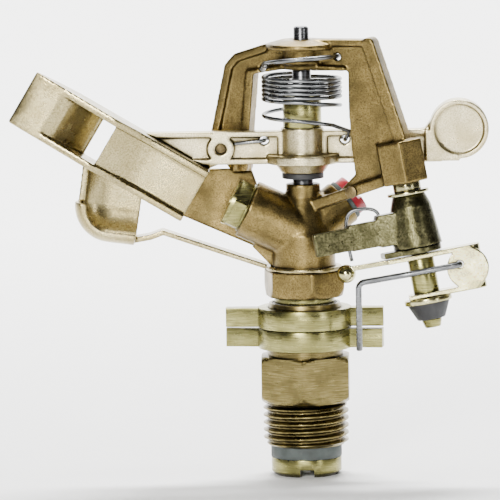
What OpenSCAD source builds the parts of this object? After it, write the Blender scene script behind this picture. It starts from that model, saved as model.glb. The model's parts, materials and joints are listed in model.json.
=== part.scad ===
// Part-circle impact sprinkler, 1/2 inch male inlet.
// Origin: on the spin axis, at the lower end of the inlet thread. +Z is up the spin axis,
// and the nozzle throws towards -X. Millimetres.

/* [Inlet sleeve] */
// Major diameter of the male pipe thread
thread_d = 20.95; // [20.6:0.05:21.2]
// Length of the male thread
thread_len = 10; // [9:0.5:11]
// Pitch of the thread, 14 per inch
thread_pitch = 1.814; // [1.6:0.002:2]
// Width of the inlet hexagon across its flats
inlet_hex_af = 21.4; // [21:0.1:23]
// Height of the inlet hexagon's top
inlet_hex_top = 22; // [21.5:0.1:22.4]

/* [Stop rings] */
// Outer radius of a stop ring
ring_r = 11.4; // [11:0.1:12]
// Height of a stop ring
ring_h = 4.9; // [4.5:0.1:5]
// Radius that the stop lugs reach
lug_r = 19.4; // [18.8:0.1:20]
// Thickness of a stop lug
lug_t = 3.6; // [3:0.1:4]

/* [Head] */
// Rise of the main barrel above level, degrees
jet_rise = 25; // [23:1:27]
// Outer radius of the main barrel
barrel_r = 7.2; // [7:0.1:7.4]
// Turn of the bridge's plane behind the nozzle's plane, degrees
bridge_turn = 20; // [19:1:21]
// Radius of the arm's steel pin
pin_r = 2.25; // [2.2:0.05:2.3]

/* [Arm] */
// Height of the arm's lower edge
arm_z0 = 69.3; // [69:0.1:69.6]
// Height of the arm's upper edge
arm_z1 = 77.3; // [77:0.1:77.6]
// Half thickness of the arm
arm_half = 2.1; // [1.9:0.05:2.15]
// Distance of the counterweight's centre from the pin
weight_x = 38.3; // [37:0.1:40]

/* [Trip] */
// Lean of the trip pin, its lower end outwards, degrees
trip_lean = 10.6; // [10:0.1:11]
// Radius of the trip pin
trip_pin_r = 2; // [1.9:0.05:2.05]
// Diameter of the trip wire
trip_wire_d = 1.5; // [1.4:0.05:1.6]
// Turn of the reversing lever away from the neck, degrees
lever_out = 9.6; // [9:0.1:10]

/* [Hidden] */
$fn = 64;

gap = 0.05;                                  // running clearance of shafts and rings
seat = 0.02;                                 // clearance between fixed faces
tube_r = 6.5;                                // bearing tube, outside
tube_bore_r = 4.6;                           // waterway
ring_seat_r = 9;                             // sleeve's seat for the stop rings
ring_z0 = 23.9;                              // lower stop ring's underside
ring_gap = 0.2;                              // between the two stop rings
sleeve_top = 35;
head_z0 = 36.6;                              // underside of the head's hexagon
head_hex_top = 43;
neck_r = 7.7;
jet_z = 51.9;                                // where the barrel's axis meets the spin axis
barrel_len = 15.2;                           // from the spin axis to the barrel's mouth
boss_top = 64.3;                             // top of the arm pin's lower boss
pin_foot = 58.6;
pin_shoulder_r = 2.5;
pin_shoulder_z = 65.6;
hub_z0 = 92.3;                               // underside of the bridge's top hub
hub_top = 99.6;
pin_tip_r = 1.85;
pin_tip_z0 = 93.6;
pin_top = 102.8;
bridge_half = 2.3;                           // half thickness of the bridge's flanges
web_half = 1.2;                              // half thickness of the bridge's web
hub_flange_r = 8.7;                          // arm hub's lower flange
hub_r = 5.2;
bush_r = 3.4;
spring_r = 9.4;                              // arm spring's mean radius
spring_wire_d = 1;
spring_pitch = 1.05;
spring_coils = 5.5;                          // close coils of the arm spring
spring_z0 = 84.9;                            // lowest of the close coils
spring_hole_z = 75;                          // the arm's holes for the spring's lower end
web_hole_left = [-9.4, 0, 92.5];             // the bridge's holes for its upper end
web_hole_right = [9.6, 0, 95.5];
spoon_rise = 31;                             // slope of the spoon's channel, degrees
spoon_at = [-26.4, 0, 62];                   // middle of the channel's inlet end
spoon_len = 48.5;
spoon_half_w = 7.05;                         // half the channel's width
rail_t = 1.7;
blade_t = 1.3;
vane_len = 25.2;
spoon_start = 28.5;
spoon_peak = 41;                             // where the spoon stands furthest forward
rivet_x = -20;
rivet_z = 73.1;
rivet_r = 1.35;
trip_at = [25.6, 0, 70.2];                   // middle of the trip pin's boss, in the bridge's plane
// The lever's turn about the trip pin, from the bridge's plane to the nozzle's plane
lever_turn = 180 + bridge_turn + lever_out;

bowl_at = [-47, 2, 59.2];                    // middle of the deflector's bowl
bowl_rise = 8;                               // its slope up to the left, degrees
bowl_r = 9;
bowl_half = 6.4;                             // half its depth from front to back
bowl_t = 1.3;
bowl_end = 6.6;                              // from its middle to its open end
bowl_wall_h = 9;
bowl_wall_y = 2.4;                           // the tall wall stands behind this
bowl_lip_y = -3.4;                           // the low front lip ends here

// ---- helpers ----

module slab(y_lo, y_hi) {                    // an XZ outline, thick from y_lo to y_hi
    translate([0, y_hi, 0]) rotate([90, 0, 0]) linear_extrude(height = y_hi - y_lo) children();
}

module bridge_plane() {
    rotate([0, 0, -bridge_turn]) children();
}

module along_jet() {                         // local Z runs out of the main barrel
    translate([0, 0, jet_z]) rotate([0, jet_rise - 90, 0]) children();
}

module along_rear_jet() {
    translate([0, 0, jet_z]) rotate([0, 0, 16]) rotate([0, 54, 0]) children();
}

module along_trip_pin() {                    // local Z runs up the trip pin, 0 at its boss
    bridge_plane() translate(trip_at) rotate([0, -trip_lean, 0]) children();
}

module along_yoke() {                        // as along_trip_pin, with local X to the right
    along_trip_pin() rotate([0, 0, bridge_turn]) children();
}

module along_spoon() {                       // local Z runs down the channel, X across it
    translate(spoon_at) rotate([0, spoon_rise - 90, 0]) children();
}

module washer(r_out, r_in, z0, z1) {
    translate([0, 0, z0]) difference() {
        cylinder(r = r_out, h = z1 - z0);
        translate([0, 0, -1]) cylinder(r = r_in, h = z1 - z0 + 2);
    }
}

// A wire of radius r swept along a path. No stretch of the path may run along level.
module swept(path, r, sides, level = [0, 0, 1]) {
    n = len(path);
    rings = [for (i = [0 : n - 1])
        let (
            ahead = path[min(i + 1, n - 1)] - path[max(i - 1, 0)],
            t = ahead / norm(ahead),
            side = cross(t, level) / norm(cross(t, level)),
            up = cross(side, t)
        )
        for (k = [0 : sides - 1]) path[i] + r * (cos(360 * k / sides) * side + sin(360 * k / sides) * up)];
    walls = [for (i = [0 : n - 2]) for (k = [0 : sides - 1])
        let (a = i * sides + k, b = i * sides + (k + 1) % sides)
        each [[a, b, b + sides], [a, b + sides, a + sides]]];
    caps = [[for (k = [sides - 1 : -1 : 0]) k], [for (k = [0 : sides - 1]) (n - 1) * sides + k]];
    polyhedron(points = rings, faces = concat(walls, caps));
}

// A chain of points with each inner corner turned into a curve that starts bend from it
function rounded(points, bend, steps = 5) =
    [points[0],
     for (i = [1 : len(points) - 2])
        let (
            back = points[i - 1] - points[i],
            on = points[i + 1] - points[i],
            a = points[i] + back / norm(back) * min(bend, norm(back) / 2.05),
            b = points[i] + on / norm(on) * min(bend, norm(on) / 2.05)
        )
        for (k = [0 : steps])
            let (f = k / steps) (1 - f) * (1 - f) * a + 2 * f * (1 - f) * points[i] + f * f * b,
     points[len(points) - 1]];

// Points on a coil that climbs one pitch a turn, turns anticlockwise or, below zero, clockwise
function helix(r, pitch, turns, z0, start, steps) =
    [for (i = [0 : abs(turns) * steps])
        let (a = start + sign(turns) * 360 * i / steps) [r * cos(a), r * sin(a), z0 + pitch * i / steps]];

// ---- inlet ----

module thread_profile() {
    crest = thread_d / 2;
    root = crest - 1.16;
    turns = floor(thread_len / thread_pitch);
    polygon(concat(
        [[tube_r + gap, 0], [root + 0.3, 0]],
        [for (i = [0 : turns - 1]) each [
            [crest, thread_pitch * (i + 0.4)], [crest, thread_pitch * (i + 0.6)],
            [root, thread_pitch * (i + 1)]]],
        [[root, thread_len + 0.5], [tube_r + gap, thread_len + 0.5]]));
}

module inlet_sleeve() {
    spring_pocket_r = 8;
    color("darkgoldenrod") difference() {
        union() {
            rotate_extrude() thread_profile();
            intersection() {
                translate([0, 0, thread_len]) rotate([0, 0, 30 - 2])
                    cylinder(d = inlet_hex_af / cos(30), h = inlet_hex_top - thread_len, $fn = 6);
                union() {
                    translate([0, 0, thread_len]) cylinder(r1 = 10.2, r2 = 12.6, h = 1.8);
                    translate([0, 0, thread_len + 1.8]) cylinder(r = 12.6, h = 12);
                }
            }
            translate([0, 0, inlet_hex_top - 1])
                cylinder(r = 9.2 + gap, h = ring_z0 - inlet_hex_top + 1 - gap);
            translate([0, 0, inlet_hex_top]) cylinder(r = ring_seat_r, h = sleeve_top - inlet_hex_top);
            translate([0, 0, ring_z0 + 2 * ring_h + ring_gap + 0.1]) cylinder(r1 = 9.25, r2 = 9, h = 0.9);
        }
        translate([0, 0, -1]) cylinder(r = tube_r + gap, h = sleeve_top + 2);
        translate([0, 0, 25]) cylinder(r = spring_pocket_r, h = sleeve_top);
    }
}

module stop_ring(z0, turn) {
    split_w = 1;
    rotate([0, 0, turn]) difference() {
        translate([0, 0, z0]) union() {
            cylinder(r = ring_r, h = ring_h);
            intersection() {
                translate([-lug_r, -lug_t / 2, 0.15]) cube([2 * lug_r, lug_t, ring_h - 0.3]);
                cylinder(r = lug_r, h = ring_h);
            }
        }
        translate([0, 0, z0 - 1]) cylinder(r = ring_seat_r + gap, h = ring_h + 2);
        translate([-split_w / 2, 0, z0 - 1]) cube([split_w, ring_r + 1, ring_h + 2]);
    }
}

module lower_stop_ring() {
    color("goldenrod") stop_ring(ring_z0, -9);
}

module upper_stop_ring() {
    color("goldenrod") stop_ring(ring_z0 + ring_h + ring_gap, -3);
}

module bearing_tube() {
    flange_r = 8.6;
    flange_h = 4.4;
    slot_w = 3.4;
    color("goldenrod") difference() {
        union() {
            translate([0, 0, -flange_h - 3.1]) {
                cylinder(r1 = flange_r - 1, r2 = flange_r, h = 1);
                translate([0, 0, 1]) cylinder(r = flange_r, h = flange_h - 1);
            }
            translate([0, 0, -3.2]) cylinder(r = tube_r, h = head_hex_top + 3.2);
        }
        translate([0, 0, -10]) cylinder(r = tube_bore_r, h = 60);
        translate([-slot_w / 2, -12, -12.5]) cube([slot_w, 24, 7]);
    }
}

module inlet_seal() {
    color("dimgray") washer(8.7, tube_r + seat, -3.08, -gap);
}

module bearing_spring() {
    color("silver") swept(helix(7.25, 1.55, 4, 25.7, 0, 16), 0.55, 6);
}

module spring_seat_washer() {
    color("goldenrod") washer(7.85, tube_r + seat, 32.6, 33.6);
}

module friction_washer() {
    color("white") washer(7.85, tube_r + seat, 33.62, 34.9);
}

module thrust_washer() {
    color("goldenrod") washer(7.4, tube_r + seat, 34.92, head_z0 - seat);
}

// ---- head ----

module strip(points, w) {                    // a band along a chain of points in the bridge's plane
    for (i = [0 : len(points) - 2]) {
        way = points[i + 1] - points[i];
        side = w / 2 * [-way[1], way[0]] / norm(way);
        polygon([points[i] - side, points[i + 1] - side, points[i + 1] + side, points[i] + side]);
    }
    for (p = points) translate(p) circle(d = w, $fn = 20);
}

module bridge() {
    right_outer = [[17.8, 98.9], [25.6, 76.3], [25.8, 72]];
    left_outer = [[-9, 97.4], [-16.2, 95.1], [-18.3, 92.8], [-21.9, 77], [-21.4, 70.5]];
    left_inner = [[-12.8, 91], [-14.1, 77], [-14.6, 68]];
    bridge_plane() {
        slab(-web_half, web_half) {
            polygon([[3, 92], [12.3, 92.2], [12.4, 83], [13, 73.5], [14, 66.2], [21.5, 66], [25.4, 73],
                [17.8, 98.9], [3, 98.9]]);
            polygon([[-3, 92.9], [-12, 91.5], [-13.2, 77], [-13.8, 67], [-18, 66.6], [-22, 72], [-18.3, 93],
                [-16, 95.2], [-3, 98]]);
            polygon([[2, 58], [21, 64.4], [21, 67], [14, 67], [8.6, 61.5], [5.5, 61.4], [2, 63.5]]);
        }
        slab(-bridge_half, bridge_half) {
            strip(right_outer, 3.1);
            strip([[3, 99], [17.6, 99.1]], 1.6);
            strip([[3.5, 92.9], [11.4, 92.7]], 1.1);
            strip(left_outer, 2);
            strip(left_inner, 2);
            strip([[-4, 92.9], [-12.6, 91.5]], 1.1);
        }
        slab(-3.4, web_half) strip([[0.5, 58.2], [21, 65.3]], 2.6);
    }
}

module splash_plate() {                      // cast wall behind the nozzle, with the left leg's foot
    slab(6.7, 8.2)
        polygon([[-3, 46], [-8, 46.5], [-12, 48], [-31.3, 56.6], [-26.2, 67.4], [-12.6, 67.4], [-11, 59.2],
            [-3, 56]]);
    slab(4.6, 8.2) polygon([[-17.2, 66.9], [-12.6, 66.9], [-12.6, 69.4], [-17.2, 69.4]]);
    slab(6.7, 9.4) polygon([[-17, 67.4], [-12.6, 67.4], [-8, 54], [-13, 54]]);
    slab(-0.8, 0.8) polygon([[-7, 42.9], [-12.6, 48.9], [-7, 52]]);
}

module top_hub() {
    translate([0, 0, 97.4]) cylinder(r = 8.6, h = 1.2);
    translate([0, 0, 98.6]) cylinder(r1 = 8.6, r2 = 5, h = hub_top - 98.6);
    translate([0, 0, hub_z0]) cylinder(r = 4.3, h = 6);
    translate([0, 0, hub_z0 + 1.4]) cylinder(r = 5.2, h = 1);
}

module body_casting() {
    color("peru") difference() {
        union() {
            translate([0, 0, head_z0]) rotate([0, 0, -19]) intersection() {
                cylinder(r = 10.4, h = head_hex_top - head_z0, $fn = 6);
                cylinder(r1 = 9.4, r2 = 13, h = 8);
            }
            translate([0, 0, head_hex_top - 0.5]) cylinder(r = neck_r, h = jet_z - head_hex_top + 0.5);
            along_jet() cylinder(r = barrel_r, h = barrel_len);
            along_rear_jet() cylinder(r = 5.7, h = 12.6);
            translate([0, 0, jet_z]) cylinder(r1 = neck_r, r2 = 4.3, h = 9);
            translate([0, 0, jet_z + 8.9]) cylinder(r = 4.2, h = boss_top - jet_z - 8.9);
            top_hub();
            bridge();
            splash_plate();
            along_trip_pin() translate([0, 0, -5.2]) rotate([0, 0, -10]) cylinder(r = 6.2, h = 10.2, $fn = 6);
        }
        translate([0, 0, head_z0 - 1]) cylinder(r = tube_r + seat, h = head_hex_top - head_z0 + 1 + seat);
        translate([0, 0, head_z0]) cylinder(r = tube_bore_r, h = jet_z - head_z0 + 1);
        along_jet() translate([0, 0, -1]) cylinder(r = tube_bore_r + 0.1, h = 40);
        along_rear_jet() cylinder(r = 2.5, h = 20);
        along_rear_jet() translate([0, 0, 9]) cylinder(r = 4.2, h = 20);
        translate([0, 0, pin_foot - seat]) cylinder(r = pin_shoulder_r + seat, h = 10);
        translate([0, 0, hub_z0 - 1]) cylinder(r = pin_r + seat, h = pin_tip_z0 - hub_z0 + 1 + seat);
        translate([0, 0, hub_z0]) cylinder(r = pin_tip_r + seat, h = 20);
        along_trip_pin() translate([0, 0, -20]) cylinder(r = trip_pin_r + seat, h = 20 + 3.02);
        bridge_plane() {                     // holes for the arm spring's end and the stop pin
            for (hole = [web_hole_left, web_hole_right])
                translate(hole) rotate([90, 0, 0]) cylinder(r = 0.9, h = 20, center = true, $fn = 24);
            translate([13.6, 0, 62.75]) rotate([90, 0, 0])
                cylinder(r = 1.12, h = 20, center = true, $fn = 24);
        }
    }
}

module stop_pin() {
    color("peru") bridge_plane() translate([13.6, 0, 62.75]) rotate([90, 0, 0]) {
        translate([0, 0, -2.4]) cylinder(r = 1.1, h = 5.82);
        translate([0, 0, 3.42]) cylinder(r = 1.45, h = 0.5);
    }
}

module range_nozzle() {
    color("goldenrod") along_jet() difference() {
        union() {
            translate([0, 0, barrel_len - 6]) cylinder(r = tube_bore_r - seat, h = 6.5);
            translate([0, 0, barrel_len + seat]) cylinder(r = 6.1, h = 0.5);
            translate([0, 0, barrel_len + 0.5]) rotate([0, 0, -20])
                cylinder(d = 11.2 / cos(30), h = 3.1, $fn = 6);
            translate([0, 0, barrel_len + 3.6]) cylinder(r = 5.9, h = 0.9);
        }
        translate([0, 0, barrel_len - 7]) cylinder(r1 = 4.2, r2 = 2, h = 9.5);
        translate([0, 0, barrel_len]) cylinder(r = 2, h = 10);
    }
}

module rear_nozzle() {
    color("crimson") along_rear_jet() difference() {
        union() {
            translate([0, 0, 9.5]) cylinder(r = 4.2 - seat, h = 4.5);
            translate([0, 0, 13.72]) cylinder(r = 4.9, h = 2.4);
        }
        translate([0, 0, 9]) cylinder(r = 1.2, h = 10);
        translate([-0.6, -6, 15.2]) cube([1.2, 12, 2]);
    }
}

module rear_nozzle_gasket() {
    color("dimgray") along_rear_jet() washer(5.3, 4.2 + seat, 12.62, 13.7);
}

module arm_pin() {
    color("silver") {
        translate([0, 0, pin_foot]) cylinder(r = pin_shoulder_r, h = pin_shoulder_z - pin_foot);
        translate([0, 0, pin_shoulder_z]) cylinder(r = pin_r, h = pin_tip_z0 - pin_shoulder_z);
        translate([0, 0, pin_tip_z0]) cylinder(r = pin_tip_r, h = pin_top - pin_tip_z0 - 0.4);
        translate([0, 0, pin_top - 0.4]) cylinder(r1 = pin_tip_r, r2 = pin_tip_r - 0.4, h = 0.4);
    }
}

module deflector_scoop() {
    color("darkkhaki") {
        washer(9.3, neck_r + seat, head_hex_top + seat, head_hex_top + 1.1);
        // strap from the neck's ring out to the bowl
        slab(1.6, 7.4)
            polygon([[-8, 43.02], [-9.4, 43.02], [-34.4, 51.7], [-37.4, 50.6], [-42, 49.8], [-45, 50],
                [-45, 51.2], [-42, 51.2], [-37.6, 51.9], [-34.6, 53], [-9, 44.1], [-8, 44.1]]);
        translate(bowl_at) rotate([0, bowl_rise, 0]) difference() {
            bowl_space(0, bowl_end);
            bowl_space(bowl_t, bowl_end + 5);
            translate([-40, -40, 0]) cube([80, 40 + bowl_wall_y, 40]);
            translate([-40, -40, -40]) cube([80, 40 + bowl_lip_y, 80]);
        }
    }
}

// The room in the bowl: a half egg with tall walls, drawn in by t and open towards +X
module bowl_space(t, end) {
    hull() {
        scale([bowl_r - t, bowl_half - t, bowl_r - t]) sphere(r = 1, $fn = 48);
        translate([end - 1, 0, 0]) rotate([0, 90, 0])
            scale([bowl_r - t, bowl_half - t, 1]) cylinder(r = 1, h = 1, $fn = 48);
        scale([bowl_r - t, bowl_half - t, 1]) cylinder(r = 1, h = bowl_wall_h + t, $fn = 48);
        translate([end - 1, t - bowl_half, 0]) cube([1, 2 * (bowl_half - t), bowl_wall_h + t]);
    }
}

// ---- arm ----

module arm_panel(x0, x1) {                   // rims above and below a thin web
    rim = 1.3;
    slab(-0.7, arm_half) translate([x0, arm_z0]) square([x1 - x0, arm_z1 - arm_z0]);
    slab(-arm_half, arm_half) {
        translate([x0, arm_z0]) square([x1 - x0, rim]);
        translate([x0, arm_z1 - rim]) square([x1 - x0, rim]);
    }
}

module impact_arm() {
    weight_z = 77.3;
    weight_r = 7.2;
    color("burlywood") difference() {
        union() {
            difference() {
                arm_panel(-38.4, 0);
                along_spoon() translate([spoon_half_w - 30 + seat, -20, -20]) cube([30, 40, 60]);
            }
            arm_panel(0, 34);
            slab(-arm_half, arm_half) {
                translate([rivet_x, rivet_z]) circle(r = 3.3);
                translate([-6, arm_z0]) square([12, arm_z1 - arm_z0]);
            }
            slab(-3.2, 3.4) {
                translate([weight_x, weight_z]) circle(r = weight_r);
                polygon([[30, arm_z0 + 0.3], [weight_x, arm_z0 + 0.3], [weight_x, 77], [30, 77]]);
            }
            slab(-arm_half, arm_half)
                polygon([[26, arm_z1 - 0.5], [30, arm_z1 + 0.2], [33, 82], [36, 80], [36, 74]]);
            translate([0, 0, arm_z0 - 2.3]) cylinder(r1 = hub_r, r2 = 6.8, h = 2.3);
            translate([0, 0, arm_z0]) cylinder(r = hub_flange_r, h = 2.2);
            translate([0, 0, arm_z0]) cylinder(r = hub_r, h = 78.05 - arm_z0);
        }
        translate([0, 0, 60]) cylinder(r = bush_r + seat, h = 30);
        slab(-4, -2.4) translate([weight_x, weight_z]) circle(r = 6.05);
        translate([rivet_x, 0, rivet_z]) rotate([90, 0, 0])
            cylinder(r = rivet_r + seat, h = 20, center = true);
        for (x = [-9.3, 10.4]) translate([x, 0, spring_hole_z]) rotate([90, 0, 0])
            cylinder(r = 1.1, h = 20, center = true, $fn = 24);
    }
}

function vane_y(s) = s < 13 ? -4.6 : -4.6 - 2.7 * pow((s - 13) / (vane_len - 13), 2);
function spoon_y(s) = s < spoon_peak
    ? -2 + 4 * cos(180 * (s - spoon_start) / (spoon_peak - spoon_start))
    : -6 + 1.2 * pow((s - spoon_peak) / (spoon_len - spoon_peak), 2);
function front_y(s) = s < vane_len ? vane_y(s) - 1.7
    : s < spoon_peak ? -9 + 2.35 * (s - vane_len) / (spoon_peak - vane_len)
    : spoon_y(s) - 0.65;
function back_y(s) = s < 36 ? 3.3 : 3.3 - 7.4 * pow((s - 36) / (spoon_len - 36), 1.5);

module across_channel(w) {                   // an outline of (along, depth), w wide across the channel
    rotate([0, -90, 0]) linear_extrude(height = w, center = true) children();
}

module drive_spoon() {
    inner_w = 2 * (spoon_half_w - rail_t);
    vane_s = [for (i = [0 : 12]) vane_len * i / 12];
    spoon_s = [for (i = [0 : 20]) spoon_start + (spoon_len - spoon_start) * i / 20];
    rail_s = [for (i = [0 : 24]) spoon_len * i / 24];
    color("khaki") difference() {
        union() {
            along_spoon() {
                across_channel(inner_w + 0.4) {
                    polygon(concat([for (s = vane_s) [s, vane_y(s) - blade_t / 2]],
                        [for (i = [12 : -1 : 0]) [vane_s[i], vane_y(vane_s[i]) + blade_t / 2]]));
                    polygon(concat([for (s = spoon_s) [s, spoon_y(s) - blade_t / 2]],
                        [for (i = [20 : -1 : 0]) [spoon_s[i], spoon_y(spoon_s[i]) + blade_t / 2]]));
                }
                for (side = [-1, 1])
                    translate([side * (spoon_half_w - rail_t / 2), 0, 0]) across_channel(rail_t)
                        polygon(concat([for (s = rail_s) [s, front_y(s)]],
                            [for (i = [24 : -1 : 0]) [rail_s[i], back_y(rail_s[i])]]));
            }
            slab(arm_half + seat, 3.1)
                polygon([[-23.5, 67.7], [-17.4, 70.2], [-17.4, 76], [-23, 76], [-31, 72.6], [-31, 71.6]]);
        }
        translate([rivet_x, 0, rivet_z]) rotate([90, 0, 0])
            cylinder(r = rivet_r + seat, h = 20, center = true);
    }
}

module spoon_rivet() {
    color("sienna") translate([rivet_x, 0, rivet_z]) rotate([90, 0, 0]) {
        translate([0, 0, -3.32]) cylinder(r = rivet_r, h = 4.4);
        translate([0, 0, -3.72]) cylinder(r = 2.2, h = 0.4);
    }
}

module arm_bush() {
    color("goldenrod") difference() {
        union() {
            translate([0, 0, arm_z0 - 2.3]) cylinder(r = bush_r, h = 12);
            translate([0, 0, 78.07]) cylinder(r = 4.7, h = 7.9);
        }
        translate([0, 0, 60]) cylinder(r = pin_r + gap, h = 30);
    }
}

module arm_washer() {
    color("black") washer(5.1, pin_r + gap, pin_shoulder_z + seat, arm_z0 - 2.3 - seat);
}

// The wire starts in front of the arm's left hole, runs behind the hub to its right hole, climbs
// one open turn, winds its close coils, and hooks through the bridge's two holes.
module arm_spring() {
    steps = 16;
    z = spring_hole_z;
    top = spring_z0 + spring_coils * spring_pitch;
    lower_end = rounded([[-16.5, -1.35, z - 0.6], [-9.3, -1.35, z], [-9.3, 4, z], [-4, 6.4, z], [4, 6.4, z],
        [10.4, 4, z], [10.4, -3, z], [11.4, -4.6, z + 2.4]], 1.2, 3);
    open_turn = [for (i = [0 : 23])
        let (a = -38 - 412 * i / 24, rise = 1.3 * sin(min(90, 20 * i)) + 4.6 * pow(i / 24, 1.6))
        [spring_r * cos(a), spring_r * sin(a), z + 4 + rise]];
    coils = helix(spring_r, spring_pitch, -spring_coils, spring_z0, -90, steps);
    upper_end = [for (i = [1 : 20])
        let (
            a = 90 - 295 * i / 20,
            rise = (web_hole_right[2] + 0.2 - top) * sin(min(90, 12 * i)),
            fall = (web_hole_right[2] - web_hole_left[2] + 0.1) * pow(max(0, i - 9) / 11, 2)
        )
        [spring_r * cos(a), spring_r * sin(a), top + rise - fall]];
    color("silver") swept(concat(lower_end, open_turn, coils, upper_end), spring_wire_d / 2, 6);
}

// ---- trip ----

module trip_pin() {
    color("goldenrod") along_trip_pin() {
        translate([0, 0, -39]) cylinder(r = trip_pin_r, h = 42);
        translate([0, 0, -41]) cylinder(r1 = 1.9, r2 = 2.5, h = 2);
    }
}

module trip_spacer() {
    color("gold") along_trip_pin() washer(3.4, trip_pin_r + seat, -7.3, -5.22);
}

module trip_top_washer() {
    color("goldenrod") along_trip_pin() washer(5.1, trip_pin_r + seat, -8.1, -7.32);
}

module reversing_lever() {
    color("darkolivegreen") along_trip_pin() difference() {
        union() {
            translate([0, 0, -21]) cylinder(r1 = 6, r2 = 5, h = 10);
            translate([0, 0, -11]) cylinder(r1 = 5, r2 = 4, h = 2.8);
            rotate([0, 0, lever_turn]) {
                translate([0, 0, -19.6]) linear_extrude(height = 7.8)
                    polygon([[2, -5.2], [2, 3.6], [9, 1.4], [9, -3]]);
                translate([0, 0, -19.2]) linear_extrude(height = 6.4)
                    polygon([[8, -3], [8, 1.5], [16, 0.6], [16, -2.2]]);
                translate([0, 0, -18.9]) linear_extrude(height = 5.6)
                    polygon([[15, -2.2], [15, 0.7], [25, 0.4], [25, -2.2]]);
            }
        }
        translate([0, 0, -30]) cylinder(r = 2.8 + seat, h = 30);
    }
}

module lever_bush() {
    color("gold") along_trip_pin() washer(2.8, trip_pin_r + gap, -21, -8.2);
}

module trip_disc() {
    color("darkslategray") along_trip_pin() translate([0, 0, -22.5]) difference() {
        linear_extrude(height = 1.4) {
            circle(r = 5.6);
            rotate(lever_turn) polygon([[0, -4.4], [9, -3.4], [9, 2.6], [0, 3.6]]);
        }
        translate([0, 0, -1]) cylinder(r = trip_pin_r + gap, h = 4);
    }
}

// A strap folded round the pin, with a round tongue in front for the trip wire's end and an arm
// that ends in a ball for the toggle spring.
module trip_yoke() {
    sheet = 1.2;
    half_w = 3.5;
    z_lo = -33.6;
    z_hi = -22.8;
    reach = 14.7;
    bend = 2.6;
    corner = [reach - bend, bend - half_w];
    tongue_at = [10.9, -28.2];
    color("khaki") along_yoke() difference() {
        union() {
            for (flange = [[z_hi - sheet, -8], [z_lo, -4.5]])
                translate([0, 0, flange[0]]) linear_extrude(height = sheet) {
                    translate([flange[1], -half_w]) square([corner[0] - flange[1], 2 * half_w]);
                    translate(corner) circle(r = bend);
                    translate(corner) square([bend, 2 * half_w - bend]);
                }
            translate([0, 0, z_lo]) linear_extrude(height = z_hi - z_lo) {
                translate([reach - sheet, corner[1]]) square([sheet, 2 * half_w - bend]);
                intersection() {
                    translate(corner) difference() {
                        circle(r = bend);
                        circle(r = bend - sheet);
                    }
                    translate([corner[0], -half_w]) square(bend);
                }
            }
            slab(-half_w, sheet - half_w) {
                translate(tongue_at) circle(r = 5.1);
                translate([tongue_at[0], tongue_at[1] - 3.8]) square([corner[0] - tongue_at[0] + 0.1, 7.6]);
            }
            rotate([0, 0, 177]) {
                translate([0, 0, z_hi - sheet]) linear_extrude(height = sheet)
                    polygon([[4, -3.2], [4, 3.2], [11, 2.3], [17.6, 1.3], [17.6, -1.3], [11, -2.3]]);
                translate([18.4, 0, z_hi - 1.6]) sphere(r = 2.3);
            }
        }
        translate([0, 0, -40]) cylinder(r = trip_pin_r + gap, h = 30);
        translate([9.1, 0, -27]) rotate([90, 0, 0]) cylinder(r = 0.9, h = 10, $fn = 24);
    }
}

module trip_sleeve() {
    color("goldenrod") along_trip_pin() washer(3.2, trip_pin_r + gap, -32.38, -24.02);
}

module trip_end_washer() {
    color("gold") along_trip_pin() washer(5.8, trip_pin_r + seat, -34.9, -33.65);
}

module trip_end_cap() {
    color("black") along_trip_pin() difference() {
        translate([0, 0, -38.9]) cylinder(r1 = 3.4, r2 = 5.2, h = 3.98);
        translate([0, 0, -40]) cylinder(r = trip_pin_r + seat, h = 10);
    }
}

module trip_wire() {
    route = [[9.1, -0.9, -27], [9.1, -4.9, -27], [-4, -4.7, -27], [-15.9, -1.9, -27], [-18.7, -0.9, -43.1]];
    color("silver") along_yoke() swept(rounded(route, 1.6), trip_wire_d / 2, 10, level = [0, 1, -1]);
}

module toggle_spring() {
    route = [[11.6, -7.3, 45.9], [10.2, -6.3, 52], [10.4, -6.2, 58.2], [18, -6.2, 58.6], [18.6, -7, 54.4]];
    color("silver") swept(rounded(route, 3.4, 7), 0.45, 8, level = [0, 1, 0]);
}

inlet_sleeve();
lower_stop_ring();
upper_stop_ring();
body_casting();
bearing_tube();
inlet_seal();
bearing_spring();
spring_seat_washer();
friction_washer();
thrust_washer();
range_nozzle();
rear_nozzle();
rear_nozzle_gasket();
arm_pin();
stop_pin();
deflector_scoop();
impact_arm();
drive_spoon();
spoon_rivet();
arm_bush();
arm_washer();
arm_spring();
trip_pin();
trip_spacer();
trip_top_washer();
reversing_lever();
lever_bush();
trip_disc();
trip_yoke();
trip_sleeve();
trip_end_washer();
trip_end_cap();
trip_wire();
toggle_spring();
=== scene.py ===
import json
import math

import bmesh
import bpy
from mathutils import Matrix, Vector


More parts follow.
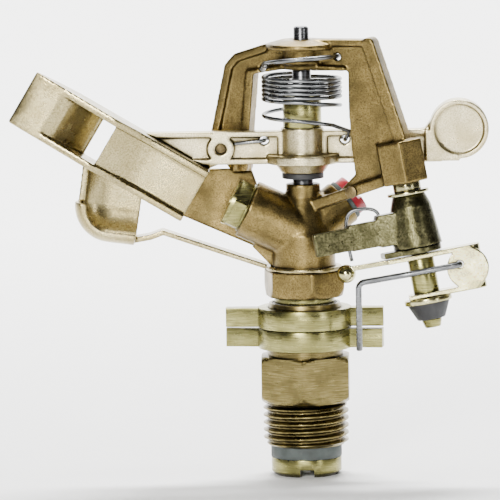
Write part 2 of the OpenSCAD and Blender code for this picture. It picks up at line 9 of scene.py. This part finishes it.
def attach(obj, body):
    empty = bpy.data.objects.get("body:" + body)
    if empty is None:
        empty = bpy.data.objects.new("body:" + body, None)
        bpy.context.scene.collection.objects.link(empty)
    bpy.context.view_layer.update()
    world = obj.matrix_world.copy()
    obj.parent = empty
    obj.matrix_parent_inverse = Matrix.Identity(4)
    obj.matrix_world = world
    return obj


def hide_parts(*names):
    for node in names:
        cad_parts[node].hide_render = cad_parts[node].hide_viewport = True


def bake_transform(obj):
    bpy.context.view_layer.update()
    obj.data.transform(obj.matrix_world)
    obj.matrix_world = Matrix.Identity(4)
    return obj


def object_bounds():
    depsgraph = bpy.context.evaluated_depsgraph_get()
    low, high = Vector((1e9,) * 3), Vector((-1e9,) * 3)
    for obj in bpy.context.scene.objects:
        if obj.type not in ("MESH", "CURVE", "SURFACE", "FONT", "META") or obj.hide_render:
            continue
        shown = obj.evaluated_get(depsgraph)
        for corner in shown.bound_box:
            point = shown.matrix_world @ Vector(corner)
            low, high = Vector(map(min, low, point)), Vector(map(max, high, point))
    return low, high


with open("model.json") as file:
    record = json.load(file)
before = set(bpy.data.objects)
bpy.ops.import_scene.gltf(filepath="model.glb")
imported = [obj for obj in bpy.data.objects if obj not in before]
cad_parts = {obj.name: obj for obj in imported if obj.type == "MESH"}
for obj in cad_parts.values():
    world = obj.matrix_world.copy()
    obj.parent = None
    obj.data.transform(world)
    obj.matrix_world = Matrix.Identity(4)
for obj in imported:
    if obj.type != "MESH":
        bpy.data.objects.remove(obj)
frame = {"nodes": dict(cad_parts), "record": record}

MM = 0.001
TAU = 2 * math.pi
cad_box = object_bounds()
nodes = frame["nodes"]
body_of_node = {n: b for b, names in frame["record"]["behaviour"]["bodies"].items() for n in names}
slot_of_node = {s["node"]: s["material_slot"] for s in frame["record"]["subparts"]}


# ---- materials ----

class Shader:
    """A material's node tree, with short ways to add nodes and join them."""

    def __init__(self, name):
        self.material = bpy.data.materials.new(name)
        self.material.use_nodes = True
        self.tree = self.material.node_tree
        self.tree.nodes.clear()
        self.out = self.add("ShaderNodeOutputMaterial")
        self.bsdf = self.add("ShaderNodeBsdfPrincipled")
        self.join(self.bsdf, "BSDF", self.out, "Surface")
        self.coords = self.add("ShaderNodeTexCoord")

    def add(self, kind, **values):
        node = self.tree.nodes.new(kind)
        for key, value in values.items():
            setattr(node, key, value)
        return node

    def join(self, a, a_socket, b, b_socket):
        self.tree.links.new(a.outputs[a_socket], b.inputs[b_socket])

    def noise(self, size, detail=3, stretch=(1, 1, 1), roughness=0.55):
        """Noise whose features are about size metres across."""
        mapping = self.add("ShaderNodeMapping")
        mapping.inputs["Scale"].default_value = stretch
        self.join(self.coords, "Object", mapping, "Vector")
        noise = self.add("ShaderNodeTexNoise")
        noise.inputs["Scale"].default_value = 1 / size
        noise.inputs["Detail"].default_value = detail
        noise.inputs["Roughness"].default_value = roughness
        self.join(mapping, "Vector", noise, "Vector")
        return noise

    def ramp(self, source, socket, stops):
        """Colours or greys along a factor: stops are (place, colour)."""
        ramp = self.add("ShaderNodeValToRGB")
        elements = ramp.color_ramp.elements
        while len(elements) < len(stops):
            elements.new(0.5)
        for element, (place, colour) in zip(elements, stops):
            element.position = place
            element.color = (*colour, 1) if isinstance(colour, tuple) else (colour, colour, colour, 1)
        self.join(source, socket, ramp, "Fac")
        return ramp

    def mix(self, factor, factor_socket, a, b, blend="MIX"):
        """Colour a where the factor is 0 and b where it is 1. Each is a node or a colour."""
        mix = self.add("ShaderNodeMix", data_type="RGBA", blend_type=blend)
        self.join(factor, factor_socket, mix, 0)
        for place, value in ((6, a), (7, b)):
            if isinstance(value, tuple):
                mix.inputs[place].default_value = (*value, 1)
            else:
                self.tree.links.new(colour_output(value), mix.inputs[place])
        return mix

    def bump(self, source, socket, height, below=None, strength=1.0):
        """Bump of a height in metres, on top of an earlier bump node."""
        bump = self.add("ShaderNodeBump")
        bump.inputs["Strength"].default_value = strength
        bump.inputs["Distance"].default_value = height
        self.join(source, socket, bump, "Height")
        if below:
            self.join(below, "Normal", bump, "Normal")
        return bump


def colour_output(node):
    return node.outputs[2] if node.bl_idname == "ShaderNodeMix" else node.outputs["Color"]


def crevice_shade(shader, colour, shade_colour, reach):
    """Painted shade: the colour darkened where the surface is hemmed in, within reach metres."""
    occlusion = shader.add("ShaderNodeAmbientOcclusion")
    occlusion.samples = 8
    occlusion.inputs["Distance"].default_value = reach
    mask = shader.ramp(occlusion, "AO", [(0.25, 1.0), (0.85, 0.0)])
    return shader.mix(mask, "Color", colour, shade_colour)


def metal(name, light, dark, shade_colour, rough, patch=7 * MM, grain=0.35 * MM, pits=0.03 * MM, reach=2.5 * MM,
          metallic=0.9):
    """Cast or stamped metal: patches of two tones, fine grain, and painted shade in its corners."""
    s = Shader(name)
    patches = s.ramp(s.noise(patch, 4), "Fac", [(0.36, 0.0), (0.66, 1.0)])
    tone = s.mix(patches, "Color", dark, light)
    specks = s.ramp(s.noise(grain, 2), "Fac", [(0.3, 0.0), (0.62, 1.0)])
    worn = s.mix(specks, "Color", tuple(c * 0.72 for c in dark), tone)
    # painted shade: ambient occlusion darkens the colour in corners and hollows
    shaded = crevice_shade(s, worn, shade_colour, reach)
    s.tree.links.new(colour_output(shaded), s.bsdf.inputs["Base Color"])
    gloss = s.ramp(s.noise(patch * 0.4, 3), "Fac", [(0.3, rough[0]), (0.7, rough[1])])
    s.join(gloss, "Color", s.bsdf, "Roughness")
    coarse = s.bump(s.noise(grain * 3, 2), "Fac", pits * 2)
    fine = s.bump(s.noise(grain, 3), "Fac", pits, below=coarse)
    s.join(fine, "Normal", s.bsdf, "Normal")
    s.bsdf.inputs["Metallic"].default_value = metallic
    return s.material


def turned(name, light, dark, shade_colour, rough, ridge=0.22 * MM, height=0.006 * MM, reach=1.6 * MM):
    """Machined metal, with fine tool lines round the vertical, stains along them, and painted shade in its
    corners.
    """
    s = Shader(name)
    lines = s.noise(ridge, 2, stretch=(0.05, 0.05, 1))
    patches = s.ramp(s.noise(5 * MM, 4), "Fac", [(0.36, 0.0), (0.64, 1.0)])
    tone = s.mix(patches, "Color", dark, light)
    line_mask = s.ramp(lines, "Fac", [(0.35, 0.0), (0.65, 1.0)])
    lined = s.mix(line_mask, "Color", tuple(c * 0.8 for c in dark), tone)
    # painted shade: ambient occlusion darkens the colour in corners and hollows
    shaded = crevice_shade(s, lined, shade_colour, reach)
    s.tree.links.new(colour_output(shaded), s.bsdf.inputs["Base Color"])
    gloss = s.ramp(s.noise(1.2 * MM, 3, stretch=(0.3, 0.3, 1)), "Fac", [(0.3, rough[0]), (0.7, rough[1])])
    s.join(gloss, "Color", s.bsdf, "Roughness")
    s.join(s.bump(lines, "Fac", height), "Normal", s.bsdf, "Normal")
    s.bsdf.inputs["Metallic"].default_value = 1.0
    return s.material


def moulded(name, light, dark, rough, grain=0.5 * MM, height=0.01 * MM):
    """Plastic or rubber: faint mottling and a fine moulded grain."""
    s = Shader(name)
    tone = s.mix(s.ramp(s.noise(3 * MM, 3), "Fac", [(0.35, 0.0), (0.65, 1.0)]), "Color", dark, light)
    s.tree.links.new(colour_output(tone), s.bsdf.inputs["Base Color"])
    gloss = s.ramp(s.noise(1.5 * MM, 3), "Fac", [(0.3, rough[0]), (0.7, rough[1])])
    s.join(gloss, "Color", s.bsdf, "Roughness")
    s.join(s.bump(s.noise(grain, 3), "Fac", height), "Normal", s.bsdf, "Normal")
    return s.material


# the third colour of each metal is the painted shade for its corners and hollows
MATERIALS = {
    "cast_brass": metal(
        "cast_brass", (0.3, 0.214, 0.075), (0.128, 0.0938, 0.0338), (0.025, 0.018, 0.006), (0.27, 0.42),
        metallic=1.0),
    "arm_brass": metal(
        "arm_brass", (0.76, 0.684, 0.456), (0.494, 0.418, 0.228), (0.06, 0.045, 0.016), (0.26, 0.4),
        pits=0.015 * MM, metallic=1.0),
    "spoon_brass": metal(
        "spoon_brass", (0.493, 0.425, 0.23), (0.306, 0.246, 0.111), (0.05, 0.036, 0.012), (0.2, 0.32),
        patch=11 * MM, pits=0.008 * MM, metallic=1.0),
    "turned_brass": turned(
        "turned_brass", (0.391, 0.365, 0.145), (0.221, 0.204, 0.0723), (0.04, 0.035, 0.012), (0.22, 0.36)),
    "sleeve_brass": turned(
        "sleeve_brass", (0.272, 0.216, 0.084), (0.136, 0.108, 0.04), (0.03, 0.022, 0.009), (0.22, 0.38)),
    "dark_bronze": metal(
        "dark_bronze", (0.17, 0.157, 0.0765), (0.0638, 0.0595, 0.0272), (0.012, 0.012, 0.006),
        (0.26, 0.4), patch=4 * MM, grain=0.5 * MM, pits=0.05 * MM, metallic=1.0),
    "yoke_brass": metal(
        "yoke_brass", (0.70, 0.66, 0.38), (0.46, 0.41, 0.19), (0.07, 0.055, 0.02), (0.14, 0.28),
        pits=0.006 * MM, metallic=1.0),
    "spring_steel": turned(
        "spring_steel", (0.272, 0.28, 0.288), (0.16, 0.164, 0.168), (0.03, 0.03, 0.03), (0.22, 0.36)),
    "pin_steel": turned(
        "pin_steel", (0.26, 0.265, 0.275), (0.12, 0.122, 0.128), (0.025, 0.025, 0.025), (0.24, 0.38)),
    "rivet_brass": metal(
        "rivet_brass", (0.22, 0.16, 0.07), (0.11, 0.08, 0.035), (0.02, 0.015, 0.006), (0.3, 0.45)),
    "seal_rubber": moulded("seal_rubber", (0.07, 0.085, 0.08), (0.035, 0.042, 0.04), (0.55, 0.75)),
    "black_plastic": moulded("black_plastic", (0.01, 0.01, 0.011), (0.005, 0.005, 0.006), (0.45, 0.6)),
    "red_plastic": moulded("red_plastic", (0.42, 0.012, 0.03), (0.26, 0.008, 0.02), (0.26, 0.38)),
    "white_plastic": moulded("white_plastic", (0.78, 0.77, 0.73), (0.64, 0.63, 0.58), (0.4, 0.55)),
}


# ---- mesh helpers ----

def smooth_by_angle(mesh, degrees):
    """Smooth faces, with sharp edges where two faces meet at more than this angle."""
    limit = math.radians(degrees)
    bm = bmesh.new()
    bm.from_mesh(mesh)
    for face in bm.faces:
        face.smooth = True
    for edge in bm.edges:
        edge.smooth = len(edge.link_faces) == 2 and edge.calc_face_angle(0) < limit
    bm.to_mesh(mesh)
    bm.free()


def apply_modifiers(obj):
    graph = bpy.context.evaluated_depsgraph_get()
    mesh = bpy.data.meshes.new_from_object(obj.evaluated_get(graph))
    obj.modifiers.clear()
    obj.data = mesh


def add_piece(name, mesh, body, slot, replaced=(), angle=32):
    """An object made from a mesh: its place, body, slot, material and the CAD nodes it stands for."""
    smooth_by_angle(mesh, angle)
    obj = bpy.data.objects.new(name, mesh)
    bpy.context.scene.collection.objects.link(obj)
    finish_piece(obj, body, slot, replaced)
    return obj


def finish_piece(obj, body, slot, replaced=()):
    obj.data.materials.clear()
    obj.data.materials.append(MATERIALS[slot])
    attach(obj, body)
    if replaced:
        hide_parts(*replaced)


def copy_of(node):
    """A copy of a CAD node's mesh, with its doubled vertices merged and its flat faces whole."""
    bm = bmesh.new()
    bm.from_mesh(nodes[node].data)
    bmesh.ops.remove_doubles(bm, verts=bm.verts, dist=0.002 * MM)
    bmesh.ops.dissolve_limit(bm, angle_limit=math.radians(0.4), verts=bm.verts, edges=bm.edges)
    mesh = bpy.data.meshes.new(node + "_shape")
    bm.to_mesh(mesh)
    bm.free()
    obj = bpy.data.objects.new(node + "_look", mesh)
    bpy.context.scene.collection.objects.link(obj)
    return obj


def cast(node, voxel, passes, factor=0.5):
    """A CAD node's shape with the soft edges and filled corners of a casting."""
    obj = copy_of(node)
    remesh = obj.modifiers.new("remesh", "REMESH")
    remesh.mode = "VOXEL"
    remesh.voxel_size = voxel
    soften = obj.modifiers.new("soften", "SMOOTH")
    soften.iterations = passes
    soften.factor = factor
    apply_modifiers(obj)
    smooth_by_angle(obj.data, 60)
    finish_piece(obj, body_of_node[node], slot_of_node[node], [node])
    return obj


def machined(node, width=0.18 * MM):
    """A CAD node's shape with its edges broken by a small bevel."""
    obj = copy_of(node)
    bevel = obj.modifiers.new("bevel", "BEVEL")
    bevel.width = width
    bevel.segments = 2
    bevel.limit_method = "ANGLE"
    bevel.angle_limit = math.radians(38)
    bevel.harden_normals = False
    apply_modifiers(obj)
    smooth_by_angle(obj.data, 30)
    finish_piece(obj, body_of_node[node], slot_of_node[node], [node])
    return obj


def tube_mesh(name, path, radius, sides=14):
    """A round wire along a path, with a domed end at each side."""
    count = len(path)
    ways = [(path[min(i + 1, count - 1)] - path[max(i - 1, 0)]).normalized() for i in range(count)]
    side = ways[0].orthogonal().normalized()
    bm = bmesh.new()
    rings = []
    for i, (point, way) in enumerate(zip(path, ways)):
        if i:
            side = (ways[i - 1].rotation_difference(way) @ side).normalized()
        side = (side - way * side.dot(way)).normalized()
        up = way.cross(side)
        turns = [TAU * k / sides for k in range(sides)]
        rings.append([bm.verts.new(point + radius * (math.cos(a) * side + math.sin(a) * up)) for a in turns])
    for ring, after in zip(rings, rings[1:]):
        for k in range(sides):
            bm.faces.new((ring[k], ring[(k + 1) % sides], after[(k + 1) % sides], after[k]))
    for ring, point, way, sign in ((rings[0], path[0], ways[0], -1), (rings[-1], path[-1], ways[-1], 1)):
        small = [bm.verts.new(v.co.lerp(point, 0.3) + way * radius * 0.3 * sign) for v in ring]
        for k in range(sides):
            quad = (ring[k], ring[(k + 1) % sides], small[(k + 1) % sides], small[k])
            bm.faces.new(quad[::-1] if sign < 0 else quad)
        bm.faces.new(small[::-1] if sign < 0 else small)
    bmesh.ops.recalc_face_normals(bm, faces=bm.faces)
    mesh = bpy.data.meshes.new(name)
    bm.to_mesh(mesh)
    bm.free()
    return mesh


def rounded(points, bend, steps=8):
    """A chain of points with each inner corner turned into a curve that starts bend from it."""
    out = [points[0]]
    for before, corner, after in zip(points, points[1:], points[2:]):
        back = before - corner
        on = after - corner
        a = corner + back.normalized() * min(bend, back.length / 2.05)
        b = corner + on.normalized() * min(bend, on.length / 2.05)
        for k in range(steps + 1):
            f = k / steps
            out.append((1 - f) ** 2 * a + 2 * f * (1 - f) * corner + f * f * b)
    return out + [points[-1]]


def millimetres(points):
    return [Vector(p) * MM for p in points]


# ---- inlet sleeve with its helical thread ----

def inlet_sleeve():
    thread_len, pitch, crest, root = 10.2, 1.814, 10.475, 9.35
    hex_flat, hex_z0, hex_z1 = 10.7, 10.5, 22.0
    neck_r, bore_r, pocket_r, pocket_z = 9.0, 6.55, 8.0, 25.0
    collar_r, collar_top, sleeve_top = 9.25, 23.85, 35.0
    around, thread_steps = 240, 132
    levels = [0.0, 0.0] + [thread_len * i / thread_steps for i in range(thread_steps + 1)]
    hex_levels = [hex_z0, 10.8, 11.2, 11.7, 12.3, 13.0, 14.0, 17.0, 20.0, 20.6, 21.1, 21.5, 21.8, hex_z1]
    first_top = len(levels) + len(hex_levels)
    first_seat = first_top + 2
    levels += hex_levels + [hex_z1, collar_top, collar_top, 33.9, 34.1, 34.8, sleeve_top]

    def outer(i, z, angle):
        if i == 0:
            return bore_r + 0.3
        if z <= thread_len:
            phase = (z / pitch - angle / TAU) % 1.0
            ridge = max(0.0, 1 - abs(phase - 0.5) * 2.35)
            fade = min(1.0, max(0.0, z) / 0.9, (thread_len - z) / 0.8 + 0.15)
            return root + (crest - root) * min(1.0, ridge * 1.25) * max(0.0, fade)
        if z <= hex_z1 and i < first_top:
            flat = (angle + math.radians(32)) % (TAU / 6) - TAU / 12
            chamfer = 10.35 + (z - hex_z0) * 1.25
            top = 11.1 + (hex_z1 - z) * 1.7
            return min(hex_flat / math.cos(flat), chamfer, top)
        if i < first_seat:
            return collar_r
        return neck_r if z < 34.5 else neck_r - 0.3

    bm = bmesh.new()
    rings = []
    for i, z in enumerate(levels):
        ring = []
        for k in range(around):
            angle = TAU * k / around
            r = outer(i, z, angle)
            ring.append(bm.verts.new((r * math.cos(angle) * MM, r * math.sin(angle) * MM, z * MM)))
        rings.append(ring)
    for r, z in ((pocket_r, sleeve_top), (pocket_r, pocket_z), (bore_r, pocket_z), (bore_r, 0.0)):
        turns = [TAU * k / around for k in range(around)]
        rings.append([bm.verts.new((r * math.cos(a) * MM, r * math.sin(a) * MM, z * MM)) for a in turns])
    for ring, after in zip(rings, rings[1:] + rings[:1]):
        for k in range(around):
            bm.faces.new((ring[k], ring[(k + 1) % around], after[(k + 1) % around], after[k]))
    bmesh.ops.recalc_face_normals(bm, faces=bm.faces)
    mesh = bpy.data.meshes.new("inlet_sleeve_shape")
    bm.to_mesh(mesh)
    bm.free()
    add_piece("inlet_sleeve_look", mesh, "base", "sleeve_brass", ["inlet_sleeve"], angle=35)


# ---- springs and wires ----

def arm_spring():
    radius, pitch, coils, z0, hole_z = 9.4, 1.05, 5.5, 84.9, 75.0
    top = z0 + coils * pitch
    lower = rounded(millimetres([
        (-16.5, -1.35, hole_z - 0.6), (-9.3, -1.35, hole_z), (-9.3, 4, hole_z), (-4, 6.4, hole_z),
        (4, 6.4, hole_z), (10.4, 4, hole_z), (10.4, -3, hole_z), (11.4, -4.6, hole_z + 2.4)]), 1.2 * MM)
    path = list(lower)

    def on_coil(degrees, z):
        a = math.radians(degrees)
        return Vector((radius * math.cos(a), radius * math.sin(a), z)) * MM

    for i in range(72):
        f = i / 72
        rise = 1.3 * math.sin(math.radians(min(90, 480 * f))) + 4.6 * f ** 1.6
        path.append(on_coil(-38 - 412 * f, hole_z + 4 + rise))
    steps = int(coils * 48)
    for i in range(steps + 1):
        path.append(on_coil(-90 - 360 * i / 48, z0 + pitch * i / 48))
    for i in range(1, 61):
        f = i / 60
        rise = (95.7 - top) * math.sin(math.radians(min(90, 240 * f)))
        fall = 3.1 * (max(0, f * 20 - 9) / 11) ** 2
        path.append(on_coil(90 - 295 * f, top + rise - fall))
    mesh = tube_mesh("arm_spring_shape", path, 0.5 * MM)
    smooth_by_angle(mesh, 50)
    obj = bpy.data.objects.new("arm_spring_look", mesh)
    bpy.context.scene.collection.objects.link(obj)
    obj.data.materials.append(MATERIALS["spring_steel"])
    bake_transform(obj)
    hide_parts("arm_spring")


def bearing_spring():
    path = [Vector((7.25 * math.cos(TAU * i / 40), 7.25 * math.sin(TAU * i / 40), 25.7 + 1.55 * i / 40)) * MM
            for i in range(161)]
    mesh = tube_mesh("bearing_spring_shape", path, 0.55 * MM)
    add_piece("bearing_spring_look", mesh, "head", "spring_steel", ["bearing_spring"], angle=50)


def toggle_spring():
    route = rounded(millimetres([(11.6, -7.3, 45.9), (10.2, -6.3, 52), (10.4, -6.2, 58.2), (18, -6.2, 58.6),
                                 (18.6, -7, 54.4)]), 3.4 * MM, 14)
    mesh = tube_mesh("toggle_spring_shape", route, 0.45 * MM)
    add_piece("toggle_spring_look", mesh, "yoke", "spring_steel", ["toggle_spring"], angle=50)


def trip_wire():
    """The same bent wire as in CAD, with finer bends."""
    lean, turn = math.radians(10.6), math.radians(20)
    frame_of_yoke = (Matrix.Rotation(-turn, 4, "Z") @ Matrix.Translation((25.6, 0, 70.2))
                     @ Matrix.Rotation(-lean, 4, "Y") @ Matrix.Rotation(turn, 4, "Z"))
    route = [(9.1, -0.9, -27), (9.1, -4.9, -27), (-4, -4.7, -27), (-15.9, -1.9, -27), (-18.7, -0.9, -43.1)]
    path = [(frame_of_yoke @ p) for p in rounded([Vector(p) for p in route], 1.6, 12)]
    mesh = tube_mesh("trip_wire_shape", [p * MM for p in path], 0.75 * MM, 18)
    add_piece("trip_wire_look", mesh, "yoke", "spring_steel", ["trip_wire"], angle=50)


# ---- floor, light and camera ----

def stage():
    low = cad_box[0].z
    floor_mat = Shader("floor")
    tone = floor_mat.mix(floor_mat.noise(30 * MM, 3), "Fac", (0.93, 0.93, 0.925), (0.96, 0.96, 0.955))
    floor_mat.tree.links.new(colour_output(tone), floor_mat.bsdf.inputs["Base Color"])
    floor_mat.bsdf.inputs["Roughness"].default_value = 0.8
    bm = bmesh.new()
    back, front, side, rise, bend = 0.9, -1.3, 1.3, 1.0, 0.4
    profile = [(front, low)]
    profile += [(back - bend + bend * math.sin(a), low + bend - bend * math.cos(a))
                for a in [math.pi / 2 * i / 16 for i in range(17)]]
    profile.append((back, low + rise))
    rows = [[bm.verts.new((x, y, z)) for y, z in profile] for x in (-side, side)]
    for i in range(len(profile) - 1):
        bm.faces.new((rows[0][i], rows[1][i], rows[1][i + 1], rows[0][i + 1]))
    mesh = bpy.data.meshes.new("floor")
    bm.to_mesh(mesh)
    bm.free()
    for polygon in mesh.polygons:
        polygon.use_smooth = True
    floor = bpy.data.objects.new("floor", mesh)
    bpy.context.scene.collection.objects.link(floor)
    floor.data.materials.append(floor_mat.material)


def area_light(name, place, target, size, power, colour=(1, 1, 1)):
    data = bpy.data.lights.new(name, "AREA")
    data.shape = "RECTANGLE"
    data.size, data.size_y = size
    data.energy = power
    data.color = colour
    obj = bpy.data.objects.new(name, data)
    bpy.context.scene.collection.objects.link(obj)
    obj.location = place
    obj.rotation_euler = (Vector(target) - Vector(place)).to_track_quat("-Z", "Y").to_euler()


def lights():
    centre = (0, 0, 0.05)
    area_light("key", (-0.28, -1.1, 0.42), centre, (0.26, 0.22), 15, (1, 0.99, 0.96))
    area_light("fill", (0.7, -0.7, 0.15), centre, (0.12, 0.4), 1.4)
    area_light("low", (-0.05, -1.0, 0.01), centre, (0.45, 0.08), 2.2)
    area_light("top", (0.0, -0.05, 0.9), centre, (0.4, 0.2), 2)
    area_light("backdrop", (0.0, 0.5, 1.2), (0, 0.85, 0.0), (0.8, 0.2), 62)
    world = bpy.data.worlds.new("studio")
    world.use_nodes = True
    world.node_tree.nodes["Background"].inputs["Color"].default_value = (0.8, 0.82, 0.85, 1)
    world.node_tree.nodes["Background"].inputs["Strength"].default_value = 0.05
    bpy.context.scene.world = world


def camera():
    """A long lens at the photograph's angle: level with +Y, a little above, and tilted slightly."""
    elevation, roll = math.radians(7), math.radians(0.84)
    distance, width = 1.4, 0.1225
    look_at = Vector((-0.0132, 0, 0.048))
    back = Vector((0, -math.cos(elevation), math.sin(elevation)))
    data = bpy.data.cameras.new("camera")
    data.sensor_width = 36
    data.lens = data.sensor_width * distance / width
    data.clip_start, data.clip_end = 0.05, 20
    obj = bpy.data.objects.new("camera", data)
    bpy.context.scene.collection.objects.link(obj)
    obj.rotation_mode = "QUATERNION"
    obj.location = look_at + back * distance
    tilt = Matrix.Rotation(-roll, 3, "Z").to_quaternion()
    obj.rotation_quaternion = (-back).to_track_quat("-Z", "Y") @ tilt
    bpy.context.scene.camera = obj


# ---- the object ----

camera()
lights()
stage()

for name, voxel, passes in (
        ("body_casting", 0.3 * MM, 4), ("impact_arm", 0.24 * MM, 3), ("drive_spoon", 0.26 * MM, 4),
        ("deflector_scoop", 0.24 * MM, 3), ("reversing_lever", 0.26 * MM, 5), ("trip_disc", 0.2 * MM, 3),
        ("trip_yoke", 0.16 * MM, 2)):
    cast(name, voxel, passes)

for name in (
        "lower_stop_ring", "upper_stop_ring", "bearing_tube", "thrust_washer", "range_nozzle", "rear_nozzle",
        "arm_bush", "trip_spacer", "trip_top_washer", "trip_sleeve", "trip_end_washer", "trip_end_cap",
        "spoon_rivet", "stop_pin", "trip_pin", "lever_bush", "inlet_seal", "arm_washer", "arm_pin",
        "rear_nozzle_gasket", "spring_seat_washer", "friction_washer"):
    machined(name)

inlet_sleeve()
arm_spring()
bearing_spring()
toggle_spring()
trip_wire()
